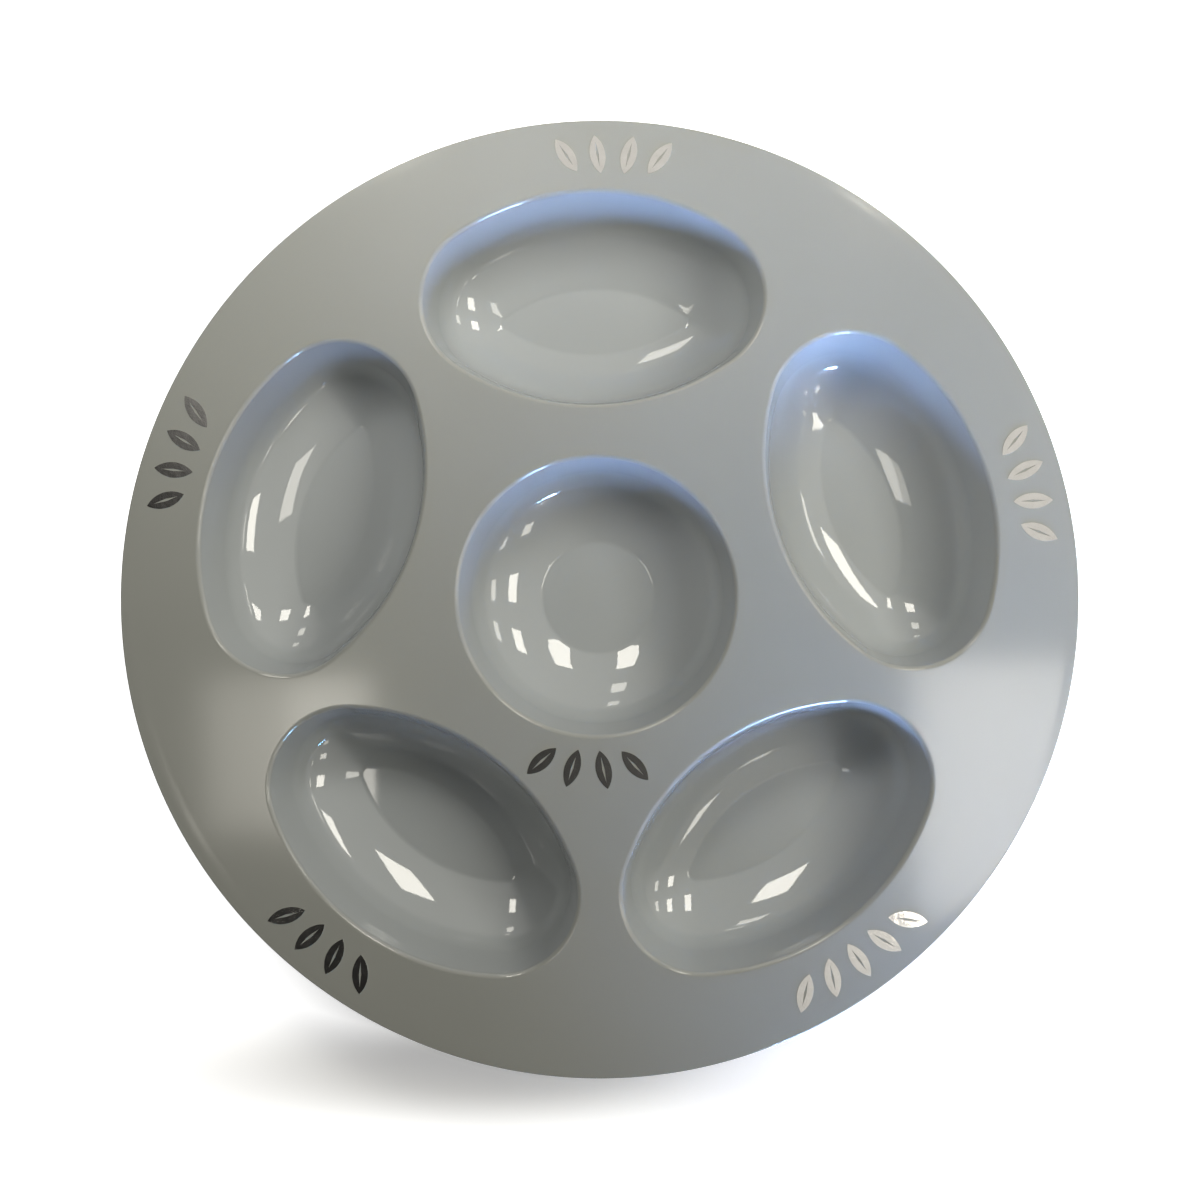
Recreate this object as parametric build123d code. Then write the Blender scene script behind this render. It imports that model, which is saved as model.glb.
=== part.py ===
from build123d import *
import math
import os

# Seder plate: one thin moulded plate with a round well in the middle and five oval wells around it,
# and silver foil leaves laid on its deck beside each well. Millimetres, +Z up, the wells stand on z = 0.

# Plate
plate_diameter = 305.0
wall = 2.4  # moulded thickness of the deck, the wells and their floors
edge_break = 0.5  # bevel along both sides of the rim's edge

# Wells, measured at the mouth where the lip leaves the flat deck
well_depth = 28.5
lip_radius = 1.6
wall_angle = 78.0  # slope of a well's wall, in degrees
heel_rise = 8.5  # the dished bottom climbs this far from the floor to where it would meet the wall
heel_radius = 15.0  # round between wall and dished bottom, inside the well
centre_well_diameter = 91.0
centre_floor_diameter = 38.4
oval_well_length = 112.0
oval_well_width = 71.0
oval_floor_width = 23.2
oval_floor_end_radius = 2.6
oval_well_pitch = 95.3  # plate centre to the middle of an oval well
first_well_angle = 90.0

# Foil leaves
foil_thickness = 0.15
leaf_length = 12.4
leaf_width = 5.0
vein_length = 8.2
vein_width = 0.8
leaf_pitch = 10.0  # along the row
leaf_lean = 20.0  # turn from one leaf of a row to the next, in degrees
centre_row_gap = 3.4  # from the mouth of the middle well to its leaves

# Oval wells in order round the plate: the count of leaves beside each, and the angle that their row
# is turned by from the middle of the well
oval_leaf_counts = {"egg": 4, "karpas": 4, "chazeret": 4, "charoset": 5, "shank_bone": 4}
oval_row_angles = {"egg": -2.9, "karpas": -1.4, "chazeret": -2.8, "charoset": -0.9, "shank_bone": -4.4}
# The middle well: the count of its leaves, and the angle of their row
centre_leaf_counts = {"maror": 4}
centre_row_angles = {"maror": -93.5}

# Worked out from the sizes above
deck_z = wall + well_depth
well_turn = 360 / len(oval_leaf_counts)
wall_tan = math.tan(math.radians(wall_angle))
wall_sin = math.sin(math.radians(wall_angle))
lip_setback = lip_radius * math.tan(math.radians(wall_angle / 2))
flat_radius = plate_diameter / 2 - edge_break
centre_slant = (centre_well_diameter - centre_floor_diameter) / 2  # mouth to floor, seen from above
oval_slant = (oval_well_width - oval_floor_width) / 2


def deck():
    """The round deck with its edge broken above and below, top face on z = 0."""
    disc = Cylinder(plate_diameter / 2, wall, align=(Align.CENTER, Align.CENTER, Align.MAX))
    return chamfer(disc.edges().filter_by(GeomType.CIRCLE), edge_break)


def round_mouth():
    """The arcs of the round well's mouth: centre, radius, start angle and sweep of each."""
    return [((0, 0), centre_well_diameter / 2, 0, 360)]


def oval_mouth():
    """The arcs of an oval well's mouth, long way along X: two ends and two sides, tangent where they meet."""
    end_radius = oval_floor_end_radius + oval_slant
    reach = oval_well_length / 2 - end_radius
    rise = oval_well_width / 2 - end_radius
    side_radius = (reach**2 - rise**2) / (2 * rise) + oval_well_width / 2
    drop = side_radius - oval_well_width / 2
    half = math.degrees(math.atan2(drop, reach))
    return [
        ((reach, 0), end_radius, -half, 2 * half),
        ((0, -drop), side_radius, half, 180 - 2 * half),
        ((-reach, 0), end_radius, 180 - half, 2 * half),
        ((0, drop), side_radius, 180 + half, 180 - 2 * half),
    ]


def well_form(mouth, slant, skin, top):
    """A well as a closed solid from height top to its floor: its hollow where skin is 0, else its outside.
    The flat floor is a straight core; wall and dished bottom are swept round each arc of the mouth."""
    depth = well_depth + skin
    heel_depth = depth - heel_rise
    floor_arcs = [CenterArc(centre, radius - slant, start, sweep) for centre, radius, start, sweep in mouth]
    solid = extrude(Pos(0, 0, -depth) * make_face(floor_arcs), depth + top)
    for centre, radius, start, sweep in mouth:
        rim = radius - lip_setback + skin / wall_sin
        upper = (rim + top / wall_tan, top)
        heel = (rim - heel_depth / wall_tan, -heel_depth)
        floor_edge = (radius - slant, -depth)
        side = FilletPolyline(upper, heel, floor_edge, radius=heel_radius + skin)
        profile = make_face([side, Polyline(floor_edge, (radius - slant, top), upper)])
        solid += Pos(*centre) * Rot(0, 0, start) * revolve(Plane.XZ * profile, Axis.Z, sweep)
    return solid


def plate():
    """The whole moulding: deck, wells and their lips, standing on z = 0."""
    wells = [(Location(), round_mouth(), centre_slant)]
    for index in range(len(oval_leaf_counts)):
        turn = first_well_angle - 90 + index * well_turn
        wells.append((Rot(0, 0, turn) * Pos(0, oval_well_pitch, 0), oval_mouth(), oval_slant))

    body = deck()
    for place, mouth, slant in wells:
        body += place * well_form(mouth, slant, wall, -wall / 2)
    for place, mouth, slant in wells:
        body -= place * well_form(mouth, slant, 0, wall)
    deck_face = body.faces().filter_by(Axis.Z).sort_by(Axis.Z)[-1]
    lips = [edge for mouth_wire in deck_face.inner_wires() for edge in mouth_wire.edges()]
    return Pos(0, 0, deck_z) * fillet(lips, lip_radius)


def leaf():
    """One foil leaf with an open vein, lying on z = 0, its tip along +Y."""
    low, high = (0, -leaf_length / 2), (0, leaf_length / 2)
    right_side = ThreePointArc(low, (leaf_width / 2, 0), high)
    left_side = ThreePointArc(high, (-leaf_width / 2, 0), low)
    vein_corners = [(0, -vein_length / 2), (vein_width / 2, 0), (0, vein_length / 2), (-vein_width / 2, 0)]
    vein = make_face(Polyline(*vein_corners, close=True))
    return extrude(make_face([right_side, left_side]) - vein, foil_thickness)


def leaf_row(count, radius, angle):
    """Places of a row of leaves that fan outwards, on a circle of this radius about this angle."""
    step = math.degrees(leaf_pitch / radius)
    for index in range(count):
        along = (count - 1) / 2 - index
        yield Rot(0, 0, angle + along * step - 90) * Pos(0, radius, deck_z) * Rot(0, 0, along * leaf_lean)


def leaves():
    """Every foil leaf by name."""
    rim_radius = (oval_well_pitch + oval_well_width / 2 + flat_radius) / 2
    centre_radius = centre_well_diameter / 2 + centre_row_gap + leaf_length / 2
    rows = []
    for index, (name, count) in enumerate(oval_leaf_counts.items()):
        angle = first_well_angle + index * well_turn + oval_row_angles[name]
        rows.append((name, count, rim_radius, angle))
    for name, count in centre_leaf_counts.items():
        rows.append((name, count, centre_radius, centre_row_angles[name]))

    made = {}
    for name, count, radius, angle in rows:
        for number, place in enumerate(leaf_row(count, radius, angle), start=1):
            made[f"{name}_leaf_{number}"] = place * leaf()
    return made


os.makedirs("parts", exist_ok=True)
for node, solid in {"plate": plate(), **leaves()}.items():
    export_step(solid, f"parts/{node}.step")
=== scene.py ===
import math
import bpy
from mathutils import Matrix, Vector
from mathutils.geometry import delaunay_2d_cdt


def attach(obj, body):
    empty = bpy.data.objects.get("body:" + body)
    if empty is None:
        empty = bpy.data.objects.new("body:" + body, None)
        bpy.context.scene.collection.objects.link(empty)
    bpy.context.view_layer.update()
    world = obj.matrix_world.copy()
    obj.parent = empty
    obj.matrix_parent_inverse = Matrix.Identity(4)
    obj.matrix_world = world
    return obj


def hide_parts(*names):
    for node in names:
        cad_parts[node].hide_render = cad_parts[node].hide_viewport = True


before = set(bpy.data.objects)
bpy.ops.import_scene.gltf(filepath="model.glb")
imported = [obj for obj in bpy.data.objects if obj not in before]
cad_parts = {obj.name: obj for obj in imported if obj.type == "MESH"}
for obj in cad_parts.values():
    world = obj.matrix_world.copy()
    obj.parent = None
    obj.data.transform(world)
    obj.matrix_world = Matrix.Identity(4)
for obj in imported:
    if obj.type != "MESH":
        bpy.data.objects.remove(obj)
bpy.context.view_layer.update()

# Blender's own start-up objects don't belong to the scene
for name in ("Cube", "Light", "Camera"):
    if name in bpy.data.objects:
        bpy.data.objects.remove(bpy.data.objects[name])

# Seder plate. Sizes are in millimetres, as in the part's source; the meshes are in metres.
MM = 0.001

# Plate
plate_radius = 152.5
wall = 2.4
well_depth = 28.5
deck_z = wall + well_depth
lip_radius = 1.6
wall_angle = math.radians(78)
heel_radius = 12.35
# Rounds of the dished bottom, from the wall's heel down to the flat floor: radius and its lowest slope
dish_rounds = [(55.0, math.radians(26.5)), (43.0, math.radians(20.5)), (80.0, math.radians(17.5))]
heel_end = math.radians(36)
floor_blend = 5.0  # soft round between the dished bottom and the flat floor
floor_inset = 0.8  # from the middle of that round to the flat floor
corner_margin = 0.4  # flat strip round a well's outside, under the deck
centre_well_radius = 45.5
centre_floor_radius = 19.2
oval_length = 112.0
oval_width = 71.0
oval_floor_width = 23.2
oval_floor_end_radius = 2.6
oval_pitch = 95.3
oval_turns = [math.radians(72 * k) for k in range(5)]

# Rim: a slight swell inside the edge, and the edge's round
edge_round = 0.6
swell_width = 5.6
swell_height = 0.02

# Gate mark in the middle of the middle floor: radius and height of its rings
gate_rings = [
    (2.3, 0.0), (1.9, 0.0), (1.7, 0.05), (1.45, 0.06), (1.2, 0.05), (1.0, -0.03), (0.5, -0.04),
]

# Points round an end and a side of an oval well, round the middle well and round the rim
end_steps = 40
side_steps = 32
round_steps = 160
rim_steps = 320
# Points down a well's section: its lip, its heel, each round of the dish and the floor's edge
hollow_steps = (10, 10, 6, 6)
outside_steps = (3, 6, 3, 3)


class Surface:
    """Points with their normals, and faces between them. Points that coincide become one."""

    def __init__(self):
        self.places = {}
        self.points = []
        self.normals = []
        self.faces = []

    def point(self, place, normal):
        key = tuple(round(value, 4) for value in place)
        if key not in self.places:
            self.places[key] = len(self.points)
            self.points.append(place)
            self.normals.append(normal)
        return self.places[key]

    def bridge(self, outer, inner, up):
        """Faces between two closed rings of as many points, shown to the side that up says."""
        count = len(outer)
        for i in range(count):
            j = (i + 1) % count
            face = (outer[i], outer[j], inner[j], inner[i])
            self.faces.append(face if up else face[::-1])

    def fan(self, ring, middle, up):
        count = len(ring)
        for i in range(count):
            face = (ring[i], ring[(i + 1) % count], middle)
            self.faces.append(face if up else face[::-1])

    def mesh(self, name):
        made = bpy.data.meshes.new(name)
        made.from_pydata([[value * MM for value in place] for place in self.points], [], self.faces)
        made.polygons.foreach_set("use_smooth", [True] * len(made.polygons))
        made.normals_split_custom_set_from_vertices(self.normals)
        made.validate()
        return made


def oval_arcs():
    """Mouth of an oval well, long way along X: centre, radius, start, sweep and steps of each arc."""
    end_radius = oval_floor_end_radius + (oval_width - oval_floor_width) / 2
    reach = oval_length / 2 - end_radius
    rise = oval_width / 2 - end_radius
    side_radius = (reach**2 - rise**2) / (2 * rise) + oval_width / 2
    drop = side_radius - oval_width / 2
    half = math.atan2(drop, reach)
    return [
        ((reach, 0), end_radius, -half, 2 * half, end_steps),
        ((0, -drop), side_radius, half, math.pi - 2 * half, side_steps),
        ((-reach, 0), end_radius, math.pi - half, 2 * half, end_steps),
        ((0, drop), side_radius, math.pi + half, math.pi - 2 * half, side_steps),
    ]


def round_arcs():
    return [((0, 0), centre_well_radius, 0, 2 * math.pi, round_steps)]


def outline(arcs, place, coarse):
    """Points of a mouth as (base point, outward direction, radius), turned and moved to their place."""
    found = []
    for centre, radius, start, sweep, steps in arcs:
        count = steps // coarse
        for i in range(count):
            angle = start + sweep * i / count
            out = Vector((math.cos(angle), math.sin(angle), 0))
            base = Vector((*centre, 0))
            found.append((place @ base, place.to_3x3() @ out, radius))
    return found


def well_profile(slant, skin, steps):
    """Section of a well from its mouth to its flat floor, as (outward, height, normal out, normal up),
    measured from the mouth and from the deck's top. Its hollow where skin is 0, else its outside."""
    lip_steps, heel_steps, dish_steps, floor_steps = steps
    section = []

    def arc(middle, radius, start, end, count, first=0):
        for i in range(first, count + 1):
            turn = start + (end - start) * i / count
            normal = (-math.sin(turn), math.cos(turn))
            section.append((middle[0] + radius * normal[0], middle[1] + radius * normal[1], *normal))

    # The rounds of the dish share one scale; it and the wall's length fit the well's width and depth
    rounds = []
    slope = heel_end
    for radius, lowest in dish_rounds:
        rounds.append((radius, slope, lowest))
        slope = lowest
    reach = sum(radius * (math.sin(high) - math.sin(low)) for radius, high, low in rounds)
    rise = sum(radius * (math.cos(low) - math.cos(high)) for radius, high, low in rounds)
    if skin == 0:
        arc((0, -lip_radius), lip_radius, 0, wall_angle, lip_steps)
    else:
        # Below the deck the outside of the wall meets it in a corner
        half = math.tan(wall_angle / 2)
        corner = (skin - lip_radius) * half
        section.append((corner + corner_margin, -skin, 0.0, 1.0))
        section.append((corner, -skin, -math.sin(wall_angle / 2), math.cos(wall_angle / 2)))
    start = Vector(section[-1][:2])
    heel = heel_radius + skin
    soft = floor_blend + skin
    heel_across = heel * (math.sin(wall_angle) - math.sin(heel_end))
    heel_down = heel * (math.cos(heel_end) - math.cos(wall_angle))
    across = slant + floor_inset + start.x - heel_across - soft * math.sin(slope)
    down = well_depth + skin + start.y - heel_down - soft * (1 - math.cos(slope))
    run = (down * reach - across * rise) / (math.sin(wall_angle) * reach - math.cos(wall_angle) * rise)
    scale = (across - run * math.cos(wall_angle)) / reach

    spot = start - run * Vector((math.cos(wall_angle), math.sin(wall_angle)))
    bends = [(heel, wall_angle, heel_end, heel_steps)]
    bends += [(radius * scale, high, low, dish_steps) for radius, high, low in rounds]
    bends.append((soft, slope, 0, floor_steps))
    for index, (radius, high, low, count) in enumerate(bends):
        middle = spot + radius * Vector((-math.sin(high), math.cos(high)))
        # Each round after the first begins on the last point of the one before
        arc(middle, -radius, high, low, count, 1 if index else 0)
        spot = Vector(section[-1][:2])
    return section


def sweep_well(surface, mouth, section, up):
    """Rings of a well down its section; returns its mouth's and its floor's ring."""
    rings = []
    for outward, height, normal_out, normal_up in section:
        ring = []
        for base, out, radius in mouth:
            place = base + out * (radius + outward) + Vector((0, 0, deck_z + height))
            normal = out * normal_out + Vector((0, 0, normal_up))
            ring.append(surface.point(place, normal if up else -normal))
        rings.append(ring)
    for outer, inner in zip(rings, rings[1:]):
        surface.bridge(outer, inner, up)
    return rings[0], rings[-1]


def circle(surface, radius, height, normal_out, normal_up, steps):
    ring = []
    for i in range(steps):
        angle = 2 * math.pi * i / steps
        out = Vector((math.cos(angle), math.sin(angle), 0))
        place = out * radius + Vector((0, 0, height))
        ring.append(surface.point(place, out * normal_out + Vector((0, 0, normal_up))))
    return ring


def inside(corners, x, y):
    """Whether a point lies in the polygon with these corners."""
    hit = False
    for a, b in zip(corners, corners[1:] + corners[:1]):
        if (a.y > y) != (b.y > y) and x < (b.x - a.x) * (y - a.y) / (b.y - a.y) + a.x:
            hit = not hit
    return hit


def fill_deck(surface, rim, mouths, up):
    """Triangles of the deck between the rim's ring and the mouths' rings."""
    loops = [rim] + mouths
    holes = [[Vector(surface.points[index]) for index in mouth] for mouth in mouths]
    order = [index for loop in loops for index in loop]
    flat = [Vector(surface.points[index]).to_2d() for index in order]
    edges = []
    first = 0
    for loop in loops:
        edges += [(first + i, first + (i + 1) % len(loop)) for i in range(len(loop))]
        first += len(loop)
    points, _, triangles, sources, _, _ = delaunay_2d_cdt(flat, edges, [], 0, 1e-5)
    for corners in triangles:
        middle = sum((points[c] for c in corners), Vector((0, 0))) / 3
        if any(inside(hole, middle.x, middle.y) for hole in holes):
            continue
        face = tuple(order[sources[c][0]] for c in corners)
        surface.faces.append(face if up else face[::-1])


def rim_section():
    """Section of the rim from the flat deck to its underside: radius, height, normal out, normal up."""
    section = []
    flat_edge = plate_radius - edge_round
    swell_steps = 14
    for i in range(swell_steps + 1):
        along = i / swell_steps
        radius = flat_edge - swell_width * (1 - along)
        height = swell_height * math.sin(math.pi * along) ** 2
        slope = swell_height * math.pi / swell_width * math.sin(2 * math.pi * along)
        length = math.hypot(slope, 1)
        section.append((radius, deck_z + height, -slope / length, 1 / length))
    round_count = 5
    for low in (False, True):
        middle = deck_z - wall + edge_round if low else deck_z - edge_round
        for i in range(round_count + 1):
            turn = math.pi / 2 * (i / round_count + (1 if low else 0))
            out, rise = math.sin(turn), math.cos(turn)
            section.append((flat_edge + edge_round * out, middle + edge_round * rise, out, rise))
    return section


def plate_mesh():
    surface = Surface()
    centre_slant = centre_well_radius - centre_floor_radius
    oval_slant = (oval_width - oval_floor_width) / 2
    wells = [(round_arcs(), Matrix.Identity(4), centre_slant)]
    for turn in oval_turns:
        place = Matrix.Rotation(turn, 4, "Z") @ Matrix.Translation((0, oval_pitch, 0))
        wells.append((oval_arcs(), place, oval_slant))

    section = rim_section()
    rings = [circle(surface, *spot, rim_steps) for spot in section]
    for outer, inner in zip(rings[1:], rings):
        surface.bridge(outer, inner, True)

    sides = [(True, 0.0, hollow_steps, 1, rings[0]), (False, wall, outside_steps, 2, rings[-1])]
    for up, skin, steps, coarse, rim in sides:
        mouths = [outline(arcs, place, coarse) for arcs, place, _ in wells]
        mouth_rings = []
        for (arcs, place, slant), mouth in zip(wells, mouths):
            mouth_ring, floor_ring = sweep_well(surface, mouth, well_profile(slant, skin, steps), up)
            mouth_rings.append(mouth_ring)
            floor = deck_z - well_depth - skin
            normal = Vector((0, 0, 1 if up else -1))
            if up and place == Matrix.Identity(4):
                for radius, height in gate_rings:
                    ring = circle(surface, radius, floor + height, 0, 1, len(floor_ring))
                    surface.bridge(floor_ring, ring, up)
                    floor_ring = ring
                floor += gate_rings[-1][1]
            middle = surface.point(place @ Vector((0, 0, floor)), normal)
            surface.fan(floor_ring, middle, up)
        fill_deck(surface, rim, mouth_rings, up)
    return surface.mesh("plate_moulding")


# Materials

class Nodes:
    """A new material's nodes, added and linked by name."""

    def __init__(self, name):
        self.material = bpy.data.materials.new(name)
        self.material.use_nodes = True
        self.tree = self.material.node_tree
        self.shader = self.tree.nodes["Principled BSDF"]

    def add(self, kind, values=(), **settings):
        node = self.tree.nodes.new(kind)
        for key, value in settings.items():
            setattr(node, key, value)
        for key, value in dict(values).items():
            self.feed(value, node.inputs[key])
        return node

    def feed(self, value, socket):
        if isinstance(value, bpy.types.NodeSocket):
            self.tree.links.new(value, socket)
        else:
            socket.default_value = value

    def noise(self, scale, detail=2.0, roughness=0.5, vector=None):
        values = {"Scale": scale, "Detail": detail, "Roughness": roughness}
        if vector is not None:
            values["Vector"] = vector
        return self.add("ShaderNodeTexNoise", values).outputs["Fac"]

    def span(self, value, low, high, to_low, to_high, smooth=False):
        values = {"Value": value, "From Min": low, "From Max": high}
        values.update({"To Min": to_low, "To Max": to_high})
        kind = "SMOOTHSTEP" if smooth else "LINEAR"
        return self.add("ShaderNodeMapRange", values, interpolation_type=kind).outputs["Result"]

    def math(self, operation, first, second):
        return self.add("ShaderNodeMath", {0: first, 1: second}, operation=operation).outputs[0]

    def mix(self, factor, first, second):
        node = self.add("ShaderNodeMix", data_type="RGBA")
        for value, index in ((factor, 0), (first, 6), (second, 7)):
            self.feed(value, node.inputs[index])
        return node.outputs[2]

    def bump(self, height, strength, distance, under=None):
        values = {"Height": height, "Strength": strength, "Distance": distance}
        if under is not None:
            values["Normal"] = under
        return self.add("ShaderNodeBump", values).outputs["Normal"]


def plate_plastic():
    nodes = Nodes("plate_plastic")
    place = nodes.add("ShaderNodeTexCoord").outputs["Object"]
    height = nodes.add("ShaderNodeSeparateXYZ", {"Vector": place}).outputs["Z"]

    # Grey with a faint cloudiness and a few dark specks in the plastic. The wells get a paler, bluer
    # grey than the deck: painted light, for the brighter, bluish light inside them that the lamps don't
    # give
    cloud = nodes.noise(14.0, 3.0, 0.55, place)
    deck_grey = nodes.mix(cloud, (0.293, 0.298, 0.274, 1), (0.319, 0.324, 0.299, 1))
    # Painted light: the paler, bluer grey below the deck's edge, in the wells
    well_grey_painted_glow = nodes.mix(cloud, (0.354, 0.372, 0.376, 1), (0.382, 0.401, 0.405, 1))
    above = nodes.span(height, (deck_z - lip_radius) * MM, deck_z * MM, 0.0, 1.0)
    grey = nodes.mix(above, well_grey_painted_glow, deck_grey)
    cells = nodes.add("ShaderNodeTexVoronoi", {"Vector": place, "Scale": 95.0})
    near = nodes.span(cells.outputs["Distance"], 0.008, 0.02, 1.0, 0.0)
    pick = nodes.add("ShaderNodeSeparateColor", {"Color": cells.outputs["Color"]}).outputs["Red"]
    chosen = nodes.span(pick, 0.95, 0.96, 0.0, 0.6)
    speck = nodes.math("MULTIPLY", near, chosen)
    nodes.feed(nodes.mix(speck, grey, (0.09, 0.085, 0.075, 1)), nodes.shader.inputs["Base Color"])

    # The deck is duller than the wells
    haze = nodes.noise(60.0, 3.0, 0.6, place)
    dull = nodes.span(haze, 0.3, 0.7, 0.105, 0.115)
    bright = nodes.span(haze, 0.3, 0.7, 0.022, 0.032)
    rise = nodes.span(height, (deck_z - 0.03) * MM, (deck_z - 0.004) * MM, 0.0, 1.0, True)
    blend = nodes.add("ShaderNodeMix", {0: rise, 2: bright, 3: dull}, data_type="FLOAT").outputs[0]
    nodes.feed(blend, nodes.shader.inputs["Roughness"])

    # Shallow waves of the moulding, and a fine skin
    waves = nodes.bump(nodes.noise(22.0, 1.0, 0.4, place), 0.1, 0.0004)
    skin = nodes.bump(nodes.noise(1500.0, 2.0, 0.5, place), 0.02, 0.0001, waves)
    nodes.feed(skin, nodes.shader.inputs["Normal"])
    nodes.shader.inputs["IOR"].default_value = 1.5
    return nodes.material


def silver_foil():
    nodes = Nodes("silver_foil")
    place = nodes.add("ShaderNodeTexCoord").outputs["Object"]
    tone = nodes.noise(220.0, 3.0, 0.6, place)
    silver = nodes.mix(tone, (0.66, 0.65, 0.62, 1), (0.80, 0.79, 0.77, 1))
    nodes.feed(silver, nodes.shader.inputs["Base Color"])
    nodes.shader.inputs["Metallic"].default_value = 1.0
    haze = nodes.span(nodes.noise(500.0, 3.0, 0.6, place), 0.3, 0.7, 0.05, 0.11)
    nodes.feed(haze, nodes.shader.inputs["Roughness"])
    creases = nodes.bump(nodes.noise(420.0, 2.0, 0.5, place), 0.12, 0.0002)
    grain = nodes.bump(nodes.noise(2600.0, 2.0, 0.6, place), 0.08, 0.0001, creases)
    nodes.feed(grain, nodes.shader.inputs["Normal"])
    return nodes.material


def pale_floor():
    """White floor: shaded by the lamps, and lifted to white for what looks at it, but less in painted
    shadows under the plate and along its lower edge.
    """
    nodes = Nodes("pale_floor")
    place = nodes.add("ShaderNodeTexCoord").outputs["Object"]
    tone = nodes.noise(9.0, 2.0, 0.5, place)
    white = nodes.mix(tone, (0.79, 0.79, 0.785, 1), (0.81, 0.81, 0.805, 1))
    nodes.feed(white, nodes.shader.inputs["Base Color"])
    nodes.feed(nodes.span(tone, 0.0, 1.0, 0.9, 1.0), nodes.shader.inputs["Roughness"])
    nodes.shader.inputs["Specular IOR Level"].default_value = 0.0
    path = nodes.add("ShaderNodeLightPath")
    seen = nodes.math("MAXIMUM", path.outputs["Is Camera Ray"], path.outputs["Is Glossy Ray"])
    seen = nodes.math("MAXIMUM", seen, path.outputs["Is Transmission Ray"])
    nodes.shader.inputs["Emission Color"].default_value = (1, 1, 1, 1)
    lifts = []
    for middle, flatten, near, far in painted_shadows:
        flat = nodes.add("ShaderNodeVectorMath", {0: place, 1: flatten}, operation="MULTIPLY")
        ends = {0: flat.outputs["Vector"], 1: middle}
        away = nodes.add("ShaderNodeVectorMath", ends, operation="DISTANCE")
        lifts.append(nodes.span(away.outputs["Value"], near, far, painted_shadow_lift, 1.0, True))
    # The lowest lift wins, so the floor stays below white in the painted shadows
    lift = nodes.math("MINIMUM", *lifts)
    nodes.feed(nodes.math("MULTIPLY", seen, lift), nodes.shader.inputs["Emission Strength"])
    return nodes.material


# Pieces

plate = bpy.data.objects.new("plate_moulding", plate_mesh())
bpy.context.scene.collection.objects.link(plate)
plate.data.materials.append(plate_plastic())
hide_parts("plate")
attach(plate, "root")

foil = silver_foil()
for name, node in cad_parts.items():
    if name == "plate":
        continue
    if not node.material_slots:
        node.data.materials.append(foil)
    for material_slot in node.material_slots:
        material_slot.material = foil

# Floor

floor_half = 3.0
# Painted shadows on the floor: it is less lifted under the plate and in a flat band along its lower
# edge. For each: its middle, how far it is flattened along X, and the distances between which the lift
# grows to white
painted_shadow_lift = 0.31
painted_shadows = [
    ((0.0, -0.05, 0.0), (1.0, 1.0, 1.0), 0.11, 0.145),
    ((-0.006, -0.162, 0.0), (0.17, 1.0, 1.0), 0.006, 0.030),
]
floor_mesh = bpy.data.meshes.new("floor")
floor_corners = [(-1, -1), (1, -1), (1, 1), (-1, 1)]
floor_points = [(x * floor_half, y * floor_half, 0) for x, y in floor_corners]
floor_mesh.from_pydata(floor_points, [], [(0, 1, 2, 3)])
floor_mesh.materials.append(pale_floor())
floor = bpy.data.objects.new("floor", floor_mesh)
bpy.context.scene.collection.objects.link(floor)

# Light

deck_middle = Vector((0, 0, deck_z * MM))


def lamp(name, place, width, height, radiance, colour=(1, 1, 1), aim=deck_middle):
    data = bpy.data.lights.new(name, "AREA")
    data.shape = "RECTANGLE"
    data.size = width
    data.size_y = height
    data.color = colour
    data.energy = radiance * math.pi * width * height
    made = bpy.data.objects.new(name, data)
    made.location = place
    made.rotation_euler = (Vector(aim) - made.location).to_track_quat("-Z", "Y").to_euler()
    made.visible_camera = False
    bpy.context.scene.collection.objects.link(made)
    return made


def facing_down(name, place, width, height, radiance, colour=(1, 1, 1)):
    return lamp(name, place, width, height, radiance, colour, aim=Vector(place) - Vector((0, 0, 1)))


# Ceiling lamps, seen in the plastic: how far off each is for one unit of height, its width, its length
# and its radiance
ceiling_height = 1.9
ceiling_colour = (1.0, 0.96, 0.87)
ceiling_lamps = [
    (0.415, -0.194, 0.34, 0.53, 7.5),
    (1.14, -0.12, 0.44, 0.74, 15.0),
    (1.88, -0.12, 0.44, 0.74, 8.0),
    (-0.34, 0.70, 0.44, 0.60, 15.0),
    (0.40, 0.66, 0.44, 0.74, 15.0),
    (1.14, 0.66, 0.44, 0.74, 15.0),
    (1.88, 0.66, 0.44, 0.74, 8.0),
    (-0.34, 1.44, 0.44, 0.60, 8.0),
    (-0.34, 2.22, 0.44, 0.60, 6.0),
    (1.10, -1.10, 0.40, 0.50, 9.0),
    (1.80, -1.05, 0.40, 0.50, 7.0),
    (1.10, -2.00, 0.44, 0.74, 6.0),
    (-0.315, -0.150, 0.17, 0.32, 7.4),
    (-0.405, -0.150, 0.17, 0.32, 3.8),
]
for index, (across, along, width, length, radiance) in enumerate(ceiling_lamps):
    above = Vector((across, along, 1)) * ceiling_height + deck_middle
    panel = facing_down(f"ceiling_{index}", above, width, length, radiance, ceiling_colour)
    panel.visible_diffuse = False

# Soft light from close by, above the top and the left of the plate, and from further off on the right
key_size = 0.12
key_colour = (1.0, 0.98, 0.92)
keys = {"top": ((0.0, 0.24, 0.24), 5.5), "left": ((-0.08, 0.24, 0.28), 12.2)}
for side, (place, radiance) in keys.items():
    above = deck_middle + Vector(place)
    key = facing_down(f"key_{side}", above, key_size, key_size, radiance, key_colour)
    key.visible_glossy = False
right_place = deck_middle + Vector((0.38, 0.08, 0.36))
key = lamp("key_right", right_place, 0.2, 0.2, 13.2, (1.0, 0.97, 0.87))
key.visible_glossy = False
# Weak light from low on the other side, into the shaded walls of the wells
fill_place = deck_middle + Vector((-0.70, -0.70, 0.40))
fill = lamp("fill", fill_place, 0.5, 0.5, 2.5, (1.0, 0.98, 0.93))
fill.visible_glossy = False

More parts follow.
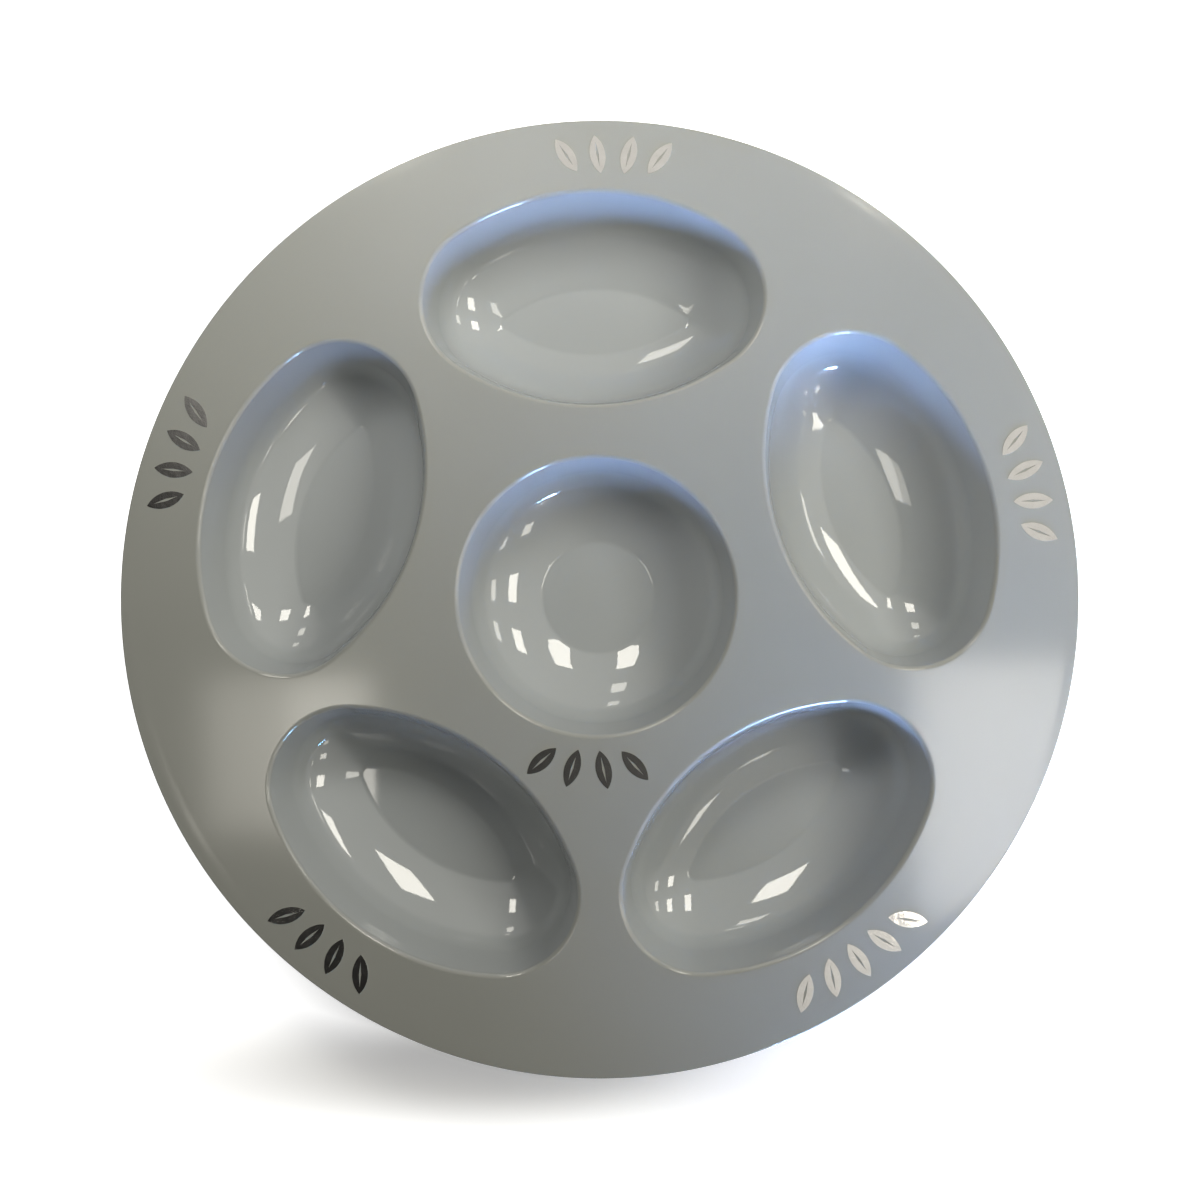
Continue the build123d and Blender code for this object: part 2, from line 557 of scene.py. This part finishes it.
# Blue daylight from a low window, which falls on the right of the plate
window_place = deck_middle + Vector((0.30, -0.60, 0.125))
window_aim = deck_middle + Vector((0.10, 0.06, 0))
window = lamp("window", window_place, 0.15, 0.16, 4.9, (0.34, 0.53, 1.0), aim=window_aim)
window.data.spread = math.radians(31)
pane_place = deck_middle + Vector((0.45, -0.95, 0.19))
pane = lamp("window_pane", pane_place, 0.28, 0.12, 90.0, (0.22, 0.60, 1.0))
pane.visible_diffuse = False

# The room, seen in the plastic and the foil: light to the right and low down, dark to the left and
# straight above
world = bpy.data.worlds.new("room")
bpy.context.scene.world = world
world.use_nodes = True
room = world.node_tree
background = room.nodes["Background"]
background.inputs["Color"].default_value = (1.0, 0.97, 0.92, 1)


def room_span(value, low, high, to_low, to_high):
    node = room.nodes.new("ShaderNodeMapRange")
    node.interpolation_type = "SMOOTHSTEP"
    limits = {"From Min": low, "From Max": high, "To Min": to_low, "To Max": to_high}
    for key_name, limit in limits.items():
        node.inputs[key_name].default_value = limit
    room.links.new(value, node.inputs["Value"])
    return node.outputs["Result"]


def room_math(operation, first, second):
    node = room.nodes.new("ShaderNodeMath")
    node.operation = operation
    for value, socket in zip((first, second), node.inputs):
        room.links.new(value, socket)
    return node.outputs[0]


light_side = (0.857, 0.514, 0)
toward = room.nodes.new("ShaderNodeTexCoord").outputs["Generated"]
across_room = room.nodes.new("ShaderNodeVectorMath")
across_room.operation = "DOT_PRODUCT"
across_room.inputs[1].default_value = light_side
room.links.new(toward, across_room.inputs[0])
upward = room.nodes.new("ShaderNodeSeparateXYZ")
room.links.new(toward, upward.inputs[0])
sideways = room_span(across_room.outputs["Value"], -0.33, 0.05, 0.02, 0.80)
overhead = room_span(upward.outputs["Z"], 0.945, 0.985, 1.0, 0.12)
low_down = room_span(upward.outputs["Z"], 0.05, 0.27, 4.0, 1.0)
path = room.nodes.new("ShaderNodeLightPath")
seen = room_math("MAXIMUM", path.outputs["Is Camera Ray"], path.outputs["Is Glossy Ray"])
level = room_math("MULTIPLY", room_math("MULTIPLY", sideways, overhead), low_down)
level = room_math("MULTIPLY", level, room_span(seen, 0.0, 1.0, 0.15, 1.0))
room.links.new(level, background.inputs["Strength"])

# Camera, fitted to the photograph

image_width = 1200
focal_pixels = 1075.59
camera_place = (6.449, -6.723, deck_z + 341.778)
camera_turns = {"X": -0.9088, "Y": -0.9014, "Z": 0.7301}
to_camera = Matrix.Identity(3)
for axis, degrees in camera_turns.items():
    to_camera = to_camera @ Matrix.Rotation(math.radians(degrees), 3, axis)
camera_data = bpy.data.cameras.new("camera")
camera_data.sensor_width = 36.0
camera_data.lens = focal_pixels * camera_data.sensor_width / image_width
camera_data.clip_start = 0.01
camera = bpy.data.objects.new("camera", camera_data)
camera.matrix_world = Matrix.Translation(Vector(camera_place) * MM) @ to_camera.transposed().to_4x4()
bpy.context.scene.collection.objects.link(camera)
bpy.context.scene.camera = camera

bpy.context.scene.view_settings.view_transform = "Standard"
